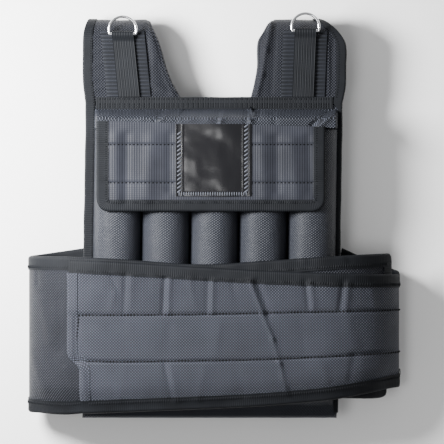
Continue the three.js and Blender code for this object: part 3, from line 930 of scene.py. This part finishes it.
def window_stitches():
    """Slanted satin stitches down the window's sides and upright ones along its foot"""
    left = sum(WINDOW_LEFT_EDGES) / 2
    right = sum(WINDOW_RIGHT_EDGES) / 2
    foot = WINDOW_LOW[1] - HEM + 2.6 * MM
    top = WINDOW_HIGH[1] - HEM - 2 * MM
    sides = [
        ([(left, foot + 3 * MM), (left, top - 8 * MM)], window_skin, 0.55 * MM),
        ([(right, foot + 3 * MM), (right, top)], window_skin, 0.55 * MM),
    ]
    # The satin thread's pale colour is a painted sheen, standing in for the vinyl's shine between the
    # stitches
    slanted = stitch_rows(
        "window_side_stitches", sides, SATIN_PAINTED_SHEEN, 6.4 * MM, 1.6 * MM, 4.3 * MM, math.radians(-55)
    )
    low = [([(left, foot), (right, foot)], window_skin, 0.55 * MM)]
    upright = stitch_rows(
        "window_foot_stitches", low, SATIN_PAINTED_SHEEN, 4.6 * MM, 1.2 * MM, 2.6 * MM, math.radians(-90)
    )
    return [slanted, upright]


def flap_stitches():
    """The flap's two seams on both sides of the window, and the row along its tape"""
    rows = []
    face = FLAP_THICK * 0.4 + 0.15 * MM
    window_gap = 4 * MM
    for seam in FLAP_SEAMS:
        starts = (FLAP_LEFT + FLAP_TAPE, WINDOW_HIGH[0] + window_gap)
        ends = (WINDOW_LOW[0] - window_gap, FLAP_RIGHT - FLAP_TAPE)
        for start, end in zip(starts, ends):
            rows.append(([(start, seam), (end, seam)], flap_skin, face))
    inset = FLAP_TAPE - 1.2 * MM
    line = rounded_line(
        [
            (FLAP_LEFT + inset, flap_top(FLAP_LEFT) - 2 * MM),
            (FLAP_LEFT + inset, FLAP_FOOT + inset),
            (FLAP_RIGHT - inset, FLAP_FOOT + inset),
            (FLAP_RIGHT - inset, flap_top(FLAP_RIGHT) - 2 * MM),
        ],
        6 * MM,
    )
    on_tape = [(line, flap_skin, FLAP_THICK * 0.4 + 0.9 * MM)]
    return [
        stitch_rows("flap_stitches", rows, THREAD, 2.4 * MM, 1.3 * MM, 4.0 * MM),
        stitch_rows("flap_tape_stitches", on_tape, TAPE_THREAD, 3.2 * MM, 0.9 * MM, 2.6 * MM, UPRIGHT),
    ]


# The belt's path round the folds

UNDER_LIFT = 0.5 * MM
FOLD_LEVEL = 30 * MM
TOP_SWEEP = 82 * MM
UNDER_SWEEP = 34 * MM
LEFT_SIDE = BELT_HALF - WING - GAP - TAPE
RIGHT_SIDE = LEFT_SIDE - LAYER


def belt_path():
    """Dense points of the belt's inner face from the left root over the top to the right root"""
    left_level = UNDER_LIFT + WING + GAP + TAPE
    right_level = left_level + LAYER
    crown = BELT_UNDER - FOLD_LEVEL
    root = BODY_HALF + 1 * MM
    half = math.pi / 2
    points = []

    def straight(start, end, level, up):
        for step in range(40):
            points.append((mix(start, end, step / 40), level, 0.0, up))

    def curve(centre, wide, tall, start, end):
        for step in range(60):
            angle = mix(start, end, step / 60)
            out = Vector((math.cos(angle) * tall, math.sin(angle) * wide)).normalized()
            x = centre + wide * math.cos(angle)
            points.append((x, FOLD_LEVEL + tall * math.sin(angle), out.x, out.y))

    straight(-root, UNDER_SWEEP - LEFT_SIDE, left_level, -1)
    curve(UNDER_SWEEP - LEFT_SIDE, UNDER_SWEEP, FOLD_LEVEL - left_level, -half, -2 * half)
    curve(TOP_SWEEP - LEFT_SIDE, TOP_SWEEP, crown, 2 * half, half)
    straight(TOP_SWEEP - LEFT_SIDE, RIGHT_SIDE - TOP_SWEEP, BELT_UNDER, 1)
    curve(RIGHT_SIDE - TOP_SWEEP, TOP_SWEEP, crown, half, 0)
    curve(RIGHT_SIDE - UNDER_SWEEP, UNDER_SWEEP, FOLD_LEVEL - right_level, 0, -half)
    straight(RIGHT_SIDE - UNDER_SWEEP, root, right_level, -1)
    points.append((root, right_level, 0.0, -1.0))
    return points


BELT_POINTS = belt_path()
BELT_LENGTHS = [0.0]
for first, second in zip(BELT_POINTS, BELT_POINTS[1:]):
    BELT_LENGTHS.append(BELT_LENGTHS[-1] + math.dist(first[:2], second[:2]))
BELT_LENGTH = BELT_LENGTHS[-1]


def belt_at(along):
    """Place across, level and outward direction at a length along the belt"""
    along = clamp(along, 0.0, BELT_LENGTH)
    low = min(bisect_right(BELT_LENGTHS, along), len(BELT_LENGTHS) - 1) - 1
    high = low + 1
    share = (along - BELT_LENGTHS[low]) / max(BELT_LENGTHS[high] - BELT_LENGTHS[low], 1e-9)
    return tuple(mix(a, b, share) for a, b in zip(BELT_POINTS[low], BELT_POINTS[high]))


def belt_length_at(x):
    """Length along the belt where its upper side passes a place across"""
    for index, point in enumerate(BELT_POINTS):
        if point[3] > 0.02 and point[0] >= x:
            return BELT_LENGTHS[index]
    return BELT_LENGTH


# Share of the belt's half width, then a wing's upper and lower edge as shares of the belt's top
INNER_ROWS = (
    (-1.0, 1.0, 0.037), (-0.78, 1.0, 0.028), (-0.5, 0.985, 0.068), (-0.07, 0.953, 0.09),
    (0.3, 0.977, 0.107), (0.65, 1.004, 0.13), (0.92, 1.02, 0.13), (0.96, 1.022, 0.17),
)
OUTER_ROWS = (
    (-0.72, 0.981, 0.032), (-0.5, 0.967, 0.043), (-0.07, 0.936, 0.062), (0.25, 0.915, 0.081),
    (0.51, 0.903, 0.106), (0.65, 0.897, 0.125), (0.96, 0.889, 0.195), (1.0, 0.886, 0.24),
)
ROOT_TOP = 1.055
ROOT_FOOT = 0.2


def wing_edges(rows, x, is_under):
    """Lower and upper edge of a wing; under the vest it spreads towards its root"""
    across = x / BELT_HALF
    top = from_rows(rows, across, 1)
    foot = from_rows(rows, across, 2)
    if is_under:
        end = math.copysign(1, across)
        share = clamp((BELT_HALF - abs(x)) / (BELT_HALF - BODY_HALF))
        top = mix(from_rows(rows, end, 1), ROOT_TOP, share)
        foot = mix(from_rows(rows, end, 2), ROOT_FOOT, share)
    return foot * BELT_TOP, top * BELT_TOP


OUTER_CREASES = (
    # Column and row where a crease starts and ends, its width and its height in millimetres
    (250, 281, 262, 313, 2.6, 2.2),
    (262, 313, 272, 338, 2.6, 2.0),
    (272, 338, 279, 362, 2.8, 1.8),
    (279, 362, 286, 392, 3.0, 1.8),
    (257, 281, 269, 313, 3.4, -1.6),
    (112, 276, 118, 290, 2.6, -1.2),
    (116, 290, 110, 314, 3.0, 1.0),
    (126, 274, 124, 312, 2.8, -1.2),
    (133, 276, 131, 312, 4.0, 0.9),
    (165, 278, 163, 312, 2.6, -2.0),
    (170, 280, 169, 312, 3.0, 1.6),
    (190, 282, 196, 310, 4.0, 0.8),
    (208, 281, 207, 312, 3.0, -1.2),
    (213, 281, 212, 312, 3.0, 1.4),
    (232, 284, 240, 312, 4.0, -0.9),
    (305, 282, 308, 308, 3.0, -1.5),
    (310, 282, 313, 308, 3.4, 1.2),
    (341, 282, 338, 309, 2.8, -1.6),
    (346, 282, 344, 309, 3.2, 1.3),
    (366, 284, 370, 307, 3.6, 1.0),
    (165, 365, 172, 398, 3.0, -1.5),
    (171, 365, 178, 398, 3.4, 1.2),
    (84, 364, 88, 398, 3.0, 1.1),
    (126, 366, 120, 398, 4.0, 0.9),
    (60, 364, 74, 364, 2.0, -1.0),
    (205, 366, 198, 398, 4.0, 1.0),
    (236, 364, 244, 394, 4.0, -1.0),
    (318, 356, 326, 380, 4.0, 1.0),
    (352, 352, 348, 378, 4.0, -1.0),
    (300, 318, 304, 352, 5.0, -0.8),
    (220, 320, 214, 356, 5.0, 0.8),
    (130, 322, 138, 356, 5.0, 0.8),
    (170, 322, 166, 356, 5.0, -0.8),
    (345, 316, 352, 346, 5.0, 0.9),
)
FASTENER_TOP = tuple(seen(*spot) for spot in ((80, 315), (190, 314), (336, 311), (398, 309)))
FASTENER_FOOT = tuple(seen(*spot) for spot in ((76, 360), (120, 361), (250, 359), (342, 355), (399, 349)))


def line_height(line, x):
    """Height of a nearly level line at a place across"""
    return from_rows(line, x, 1)


def outer_relief(x, height):
    """Creases of the outer wing, and the grooves round its hook-and-loop panel"""
    total = folds(OUTER_CREASES, x, height)
    for line in (FASTENER_TOP, FASTENER_FOOT):
        total -= 1.7 * MM * bell(height - line_height(line, x), 2.2 * MM)
    end = mix(FASTENER_TOP[0][0], FASTENER_FOOT[0][0], 0.5)
    if FASTENER_FOOT[0][1] < height < FASTENER_TOP[0][1]:
        total -= 1.7 * MM * bell(x - end, 2.2 * MM)
    pucker = 0.25 * MM * wander(x, height * 0.4, 7 * MM, 6.1)
    return total + 0.8 * MM * wander(x, height * 1.6, 30 * MM, 2.2) + pucker


INNER_CREASES = (
    # Column and row where a crease starts and ends, its width and its height in millimetres
    (39, 272, 40, 284, 2.0, -1.0),
    (44, 300, 52, 340, 5.0, 1.0),
    (60, 300, 62, 350, 4.0, -0.9),
    (34, 350, 46, 390, 5.0, 0.9),
    (66, 368, 78, 398, 3.0, 1.0),
    (300, 255, 304, 262, 3.0, 0.8),
    (345, 254, 349, 262, 3.0, -0.8),
)


def inner_relief(x, height):
    """Creases of the inner wing"""
    return folds(INNER_CREASES, x, height) + 0.8 * MM * wander(x * 1.5, height, 28 * MM, 4.4)


DROOP = 8 * MM
DROOP_REACH = 30 * MM


def wing_skin(layer, relief):
    """Surface of a wing: along the belt, height above the hem, lift from the wing's middle"""
    middle = layer * LAYER + WING / 2

    def surface(along, height, lift):
        x, level, out, up = belt_at(along)
        foot = wing_edges(OUTER_ROWS, x, up < 0)[0]
        droop = DROOP * ease(1 - (height - foot) / DROOP_REACH)
        rise = middle + lift + (relief(x, height) - droop) * ease(up * 1.5)
        return (x + out * rise, HEM + height, level + up * rise)

    return surface


INNER_SKIN = wing_skin(0, inner_relief)
OUTER_SKIN = wing_skin(1, outer_relief)
EDGE_INSET = 2.4 * MM
FREE_END_STEP = 13 * MM
WING_COVER = WING * 0.9
WING_TAPE = 12 * MM
WING_TAPE_INSIDE = WING / 2 * 0.95
WING_TAPE_THICKNESS = 0.9 * MM
WING_STITCH_LIFT = 0.15 * MM
INNER_END = belt_length_at(192 * MM)
OUTER_START = belt_length_at(-159 * MM)


def is_under(along):
    return belt_at(along)[3] < 0


def wing_cover(name, node, rows, surface, start, end, steps, shave=None, material=NYLON_BELT):
    """A wing of the belt round its fold; shave says how far its free end steps in at a height"""

    def place(u, v, level):
        along = mix(start, end, u)
        x = belt_at(along)[0]
        foot, top = wing_edges(rows, x, is_under(along))
        height = mix(foot + EDGE_INSET, top - EDGE_INSET, v)
        if shave:
            along += shave(height) * (1 - u) ** 6
        lift = (level - 0.5) * WING_COVER
        return surface(along, height, lift), (along, height)

    piece = cloth_block(steps[0], steps[1], place)
    return finish_piece(piece, name, material, (node,))


def free_end_shave(height):
    """The outer wing's free end steps in below its crease"""
    crease = seen(0, 358)[1]
    return FREE_END_STEP * ease((crease - height) / (9 * MM))


def wing_edge_line(rows, start, end, column, inset, count=80):
    """A wing's upper or lower edge as a line on the flat cloth, moved in by the inset"""
    line = []
    for step in range(count + 1):
        along = mix(start, end, step / count)
        foot, top = wing_edges(rows, belt_at(along)[0], is_under(along))
        line.append((along, top - inset if column == "top" else foot + inset))
    return line


def inner_wing_line():
    """The inner wing's upper edge, its free end and its lower edge in one line"""
    inset = 1.9 * MM
    end = INNER_END - inset
    top = wing_edge_line(INNER_ROWS, 0, end, "top", inset)
    foot = wing_edge_line(INNER_ROWS, 0, end, "foot", inset)
    return rounded_line(top[:-1] + [top[-1], foot[-1]] + foot[-2::-1], 6 * MM)


def outer_wing_lines():
    """The upper edge, the lower edge, and the free end with its step"""
    inset = 1.9 * MM
    start = OUTER_START + inset
    top = wing_edge_line(OUTER_ROWS, start, BELT_LENGTH, "top", inset)
    foot = wing_edge_line(OUTER_ROWS, start + FREE_END_STEP, BELT_LENGTH, "foot", inset)
    kink = seen(0, 356)[1]
    end = [
        (start, top[0][1] - WING_TAPE),
        (start, kink),
        (start + FREE_END_STEP, kink - 10 * MM),
        (start + FREE_END_STEP, foot[0][1] + WING_TAPE),
    ]
    return top, foot, rounded_line(end, 6 * MM)


def wing_tape(name, node, line, surface, inward, material=BINDING, width=WING_TAPE):
    """Tape folded over an edge of a wing"""
    piece = bound_edge(
        line, surface, width, WING_TAPE_INSIDE, WING_TAPE_THICKNESS, inward=inward, ripple=0.35 * MM
    )
    return finish_piece(piece, name, material, (node,))


def belt_stitches():
    """The hook-and-loop panel's sewn outline and the rows along the tapes"""
    face = WING_COVER / 2 + WING_STITCH_LIFT
    top = [(belt_length_at(x), height) for x, height in FASTENER_TOP]
    foot = [(belt_length_at(x), height) for x, height in FASTENER_FOOT]
    panel = [
        (top, OUTER_SKIN, face),
        (foot, OUTER_SKIN, face),
        ([top[0], foot[0]], OUTER_SKIN, face),
    ]
    on_tape = WING_TAPE_INSIDE + WING_TAPE_THICKNESS + WING_STITCH_LIFT
    inset = WING_TAPE - 1.3 * MM
    start = OUTER_START + inset
    end = INNER_END - inset
    edges = (
        (OUTER_ROWS, OUTER_SKIN, start, BELT_LENGTH, "top"),
        (OUTER_ROWS, OUTER_SKIN, start + 12 * MM, BELT_LENGTH, "foot"),
        (INNER_ROWS, INNER_SKIN, 0, end, "top"),
        (INNER_ROWS, INNER_SKIN, 0, end, "foot"),
    )
    rows = [
        (wing_edge_line(table, first, last, column, inset), skin, on_tape)
        for table, skin, first, last, column in edges
    ]
    return [
        stitch_rows("belt_panel_stitches", panel, THREAD, 2.5 * MM, 2.2 * MM, 3.7 * MM),
        stitch_rows("belt_tape_stitches", rows, TAPE_THREAD, 3.4 * MM, 0.9 * MM, 2.6 * MM, UPRIGHT),
    ]


# Webbing on the shoulders

RING_SPREAD = 100.5 * MM
SLANT = {"left": 0.1, "right": -0.04}
BAR = {joint["child"]: joint["pos_m"] for joint in frame["joints"]}


def strap_middle(side, height):
    """Middle line of a shoulder's webbing, which slants past its ring"""
    bar_height = BAR[f"ring_{side}"][1] - HEM
    return SIGN[side] * RING_SPREAD + SLANT[side] * (bar_height - height)


def flat_strap(name, node, side, width, thick, lift, start, end, relief, material, steps=(120, 30)):
    """A strap laid on the shoulder, in line with its ring"""

    def place(u, v, level):
        along = mix(start, end, u)
        across = strap_middle(side, over_fold(along)[0]) + (v - 0.5) * width
        rise = lift + level * thick + relief(along, (v - 0.5) * width, level)
        return front_skin(across, along, rise), ((v - 0.5) * width, along)

    piece = cloth_block(steps[0], steps[1], place)
    return finish_piece(piece, name, material, (node,) if node else ())


LADDER_WIDTH = 48 * MM
LADDER_SELVEDGE = 1 * MM


def ladder_relief(along, aside, level):
    """Rungs across the webbing that stop short of its selvedges"""
    inside = ease((LADDER_WIDTH / 2 - LADDER_SELVEDGE - abs(aside)) / (1.5 * MM))
    return level * inside * 0.5 * MM * (0.5 - 0.5 * math.cos(math.tau * along / RUNG_PITCH))


def strap_relief(along, aside, level):
    """Ribs along the strap"""
    ribs = 0.5 + 0.5 * math.cos(math.tau * aside / (2.9 * MM))
    return level * 0.18 * MM * ribs


def ladder_webbing(side):
    start = NECK + GAP
    end = FOLD_CENTRE + 12 * MM
    return flat_strap(
        f"ladder_cover_{side}", f"ladder_webbing_{side}", side, LADDER_WIDTH, 1.3 * MM, GAP,
        start, end, ladder_relief, LADDER, (int((end - start) / (0.45 * MM)), 24),
    )


def ring_strap(side):
    """Strap that comes up from the chest, folds round the ring's bar and goes back under itself"""
    bar = BAR[f"ring_{side}"]
    thick = 1.1 * MM
    hold = 2.2 * MM
    width = 23.5 * MM
    foot = NECK + GAP
    under = FRONT_TOP + 2 * GAP + 1.8 * MM
    bar_height = bar[1] - HEM
    blend = 9 * MM
    flat = bar_height - foot
    turn = math.pi * (hold + thick / 2)
    total = 2 * flat + turn

    def place(u, v, level):
        run = u * total
        outer = hold + thick * level
        aside = (v - 0.5) * width
        if run < flat:
            height, angle, is_top = foot + run, None, True
        elif run > flat + turn:
            height, angle, is_top = bar_height - (run - flat - turn), None, False
        else:
            height, angle, is_top = bar_height, (run - flat) / (hold + thick / 2), None
        if angle is not None:
            y = bar_height + outer * math.sin(angle)
            z = bar[2] + outer * math.cos(angle)
        else:
            share = ease((bar_height - height) / blend)
            if is_top:
                z = mix(bar[2] + outer, under + thick + thick * level, share)
            else:
                z = mix(bar[2] - outer, under + thick * (1 - level), share)
            y = height
        z += strap_relief(0, aside, level) * (1 if is_top is not False else 0)
        across = strap_middle(side, y) + aside
        return (across, HEM + y, z), (aside, run)

    piece = cloth_block(150, 48, place)
    name = f"ring_strap_cover_{side}"
    return finish_piece(piece, name, WEBBING, (f"ring_strap_{side}",))


def d_ring(side):
    """Chromed wire bent into a D round its hinge line"""
    bar = BAR[f"ring_{side}"]
    wire = 1.55 * MM
    radius = 15 * MM
    offset = 4.2 * MM
    half = math.sqrt(radius ** 2 - offset ** 2)
    dip = math.asin(offset / radius)
    centres = []
    for step in range(65):
        angle = mix(-dip, math.pi + dip, step / 64)
        centres.append((radius * math.cos(angle), offset + radius * math.sin(angle)))
    centres = rounded_line(centres + [(-half * 0.5, 0), (0, 0), (half * 0.5, 0), centres[0]], 1.2 * MM, 4)
    centres = [spot for spot, way in along_line(centres, 0.9 * MM)][:-1]
    bpy.ops.object.select_all(action="DESELECT")
    bpy.ops.curve.primitive_bezier_circle_add(radius=radius)
    curve = bpy.context.object
    curve.data.splines.clear()
    spline = curve.data.splines.new("POLY")
    spline.points.add(len(centres) - 1)
    for point, (x, y) in zip(spline.points, centres):
        point.co = (bar[0] + x, bar[1] + y, bar[2], 1)
    spline.use_cyclic_u = True
    curve.data.dimensions = "3D"
    curve.data.bevel_depth = wire
    curve.data.bevel_resolution = 6
    curve.select_set(True)
    bpy.ops.object.convert(target="MESH")
    piece = bpy.context.object
    name = f"d_ring_wire_{side}"
    return finish_piece(piece, name, CHROME, (f"d_ring_{side}",), body=f"ring_{side}")


def edge_tape(side):
    """Tape folded over the side edge, from the hem over the shoulder"""
    sign = SIGN[side]
    end = FOLD_CENTRE + math.pi * FOLD_RADIUS * 0.5
    foot = 6 * MM
    thick = 0.8 * MM
    width = 9 * MM
    blend = 8 * MM
    margin = {"left": POCKET_LEFT, "right": POCKET_RIGHT}[side] - GAP
    half = PAD / 2

    def place(u, v, level):
        along = mix(foot, end, u)
        height = over_fold(along)[0]
        face = mix(margin, width, ease((height - CREST_END) / blend))
        edge = outer_edge(side, height) + 0.5 * MM * wander(along, 0, 25 * MM, 7.7)
        side_run = math.pi * half * 0.6
        run = v * (2 * face + side_run)
        rise = GAP + thick * level
        if run < face:
            depth, lift = face - run, rise
        elif run > face + side_run:
            depth, lift = run - face - side_run, -PAD - rise
        else:
            angle = math.pi * (run - face) / side_run
            depth = -math.sin(angle) * (0.5 * MM + rise)
            lift = -half + (half + rise) * math.cos(angle)
        return front_skin(edge - sign * depth, along, lift), (along, run)

    piece = cloth_block(180, 30, place)
    return finish_piece(piece, f"edge_tape_cover_{side}", BINDING, (f"edge_tape_{side}",))


def chest_band():
    """Webbing across the chest, its ends tucked under the edge tapes"""
    low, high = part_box("chest_band")
    foot, top = low[1] - HEM, high[1] - HEM
    tuck = 1.6 * MM
    rib = 1.6 * MM

    def place(u, v, level):
        x = mix(low[0] - tuck, high[0] + tuck, u)
        height = mix(foot, top, v)
        ribs = 0.15 * MM * level * math.cos(math.tau * height / rib)
        sag = 0.4 * MM * wander(x, 0, 40 * MM, 1.5)
        z = low[2] + level * (high[2] - low[2]) * 0.9 + ribs + 0.3 * MM
        return (x, HEM + height + sag, z), (x, height)

    piece = cloth_block(220, 26, place)
    return finish_piece(piece, "chest_band_cover", WEBBING, ("chest_band",))


def body_stitches():
    """Rows on the chest band and along the edge tapes"""
    low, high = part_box("chest_band")
    band_rows = []

    def band_skin(x, height, lift):
        return (x, HEM + height, high[2] + lift)

    for inset in (2.4 * MM, 5.2 * MM, BAND - 2.2 * MM):
        height = low[1] - HEM + inset
        band_rows.append(([(low[0] + 3 * MM, height), (high[0] - 3 * MM, height)], band_skin, 0.3 * MM))
    for side in ("left", "right"):
        start = 20 * MM if side == "left" else NECK
        line = []
        for step in range(60):
            along = mix(start, FOLD_CENTRE + 14 * MM, step / 59)
            edge = outer_edge(side, over_fold(along)[0])
            line.append((edge - SIGN[side] * 7.2 * MM, along))
        band_rows.append((line, front_skin, GAP + 0.95 * MM))
    return stitch_rows("body_stitches", band_rows, TAPE_THREAD, 2.6 * MM, 0.9 * MM, 2.7 * MM, UPRIGHT)


# Building the vest

front_cover()
back_cover()
chest_band()
body_stitches()
for number in range(5):
    weight_pocket(number)
flap_sheet = flap_cover()
flap_binding = flap_tape()
flap_seams = flap_stitches()
window = window_sheet()
window_seams = window_stitches()
inner_wing = wing_cover(
    "inner_wing_cover", "belt_wing_inner", INNER_ROWS, INNER_SKIN, 0, INNER_END - 2 * MM, (240, 80),
    # The inner wing's darker nylon is painted shade
    material=NYLON_INNER_PAINTED_SHADE,
)
outer_wing = wing_cover(
    "outer_wing_cover", "belt_wing_outer", OUTER_ROWS, OUTER_SKIN, OUTER_START + 2 * MM, BELT_LENGTH,
    (300, 120), free_end_shave,
)
inner_binding = wing_tape("inner_wing_tape", "wing_binding_inner", inner_wing_line(), INNER_SKIN, -1)
upper_edge, lower_edge, free_edge = outer_wing_lines()
outer_bindings = [
    wing_tape("outer_wing_top_tape", "wing_binding_outer", upper_edge, OUTER_SKIN, -1),
    wing_tape("outer_wing_foot_tape", "wing_binding_outer", lower_edge, OUTER_SKIN, 1),
    wing_tape("free_end_hem", "wing_binding_outer", free_edge, OUTER_SKIN, 1, NYLON_BELT, 9 * MM),
]
belt_seams = belt_stitches()
for which in ("left", "right"):
    shoulder_pad(which)
    edge_tape(which)
    ladder_webbing(which)
    ring_strap(which)
    d_ring(which)


# Floor, light and camera

def floor():
    bpy.ops.object.select_all(action="DESELECT")
    bpy.ops.mesh.primitive_plane_add(size=6, location=(0, 0, -0.5 * MM))
    sheet = bpy.context.object
    sheet.name = "floor"
    sheet.data.materials.append(pale_floor())


def soft_light(name, place, target, size, power, colour="#ffffff"):
    bpy.ops.object.light_add(type="AREA", location=place)
    lamp = bpy.context.object
    lamp.name = name
    lamp.data.shape = "DISK"
    lamp.data.size = size
    lamp.data.energy = power
    lamp.data.color = linear(colour)[:3]
    way = Vector(target) - Vector(place)
    lamp.rotation_euler = way.to_track_quat("-Z", "Y").to_euler()
    return lamp


def surroundings(strength):
    """Even white light from all sides"""
    world = bpy.data.worlds.new("studio")
    bpy.context.scene.world = world
    world.use_nodes = True
    back = world.node_tree.nodes["Background"]
    back.inputs["Color"].default_value = linear("#ffffff")
    back.inputs["Strength"].default_value = strength


CAMERA_HEIGHT = 6.0
SENSOR = 36.0
IMAGE_PIXELS = 444


def camera():
    """Straight above, where the photograph's frame meets the front of the vest"""
    centre_x, centre_height = seen(IMAGE_PIXELS / 2, IMAGE_PIXELS / 2)
    view = bpy.data.cameras.new("camera")
    eye = bpy.data.objects.new("camera", view)
    bpy.context.scene.collection.objects.link(eye)
    eye.location = (centre_x, HEM + centre_height, CAMERA_HEIGHT)
    view.sensor_width = SENSOR
    frame_width = IMAGE_PIXELS * PIXEL
    view.lens = SENSOR * (CAMERA_HEIGHT - FRONT_TOP) / frame_width
    view.clip_end = 50
    bpy.context.scene.camera = eye


floor()
# A low key from the upper left draws the ribs and folds, and a weak high glow fills their shadows
soft_light("key", (-0.5, 0.2, 0.52), (-0.05, -0.02, 0.05), size=0.3, power=28)
soft_light("glow", (-0.5, -0.3, 2.2), (0, 0, 0), size=0.7, power=10)
surroundings(0.42)
camera()
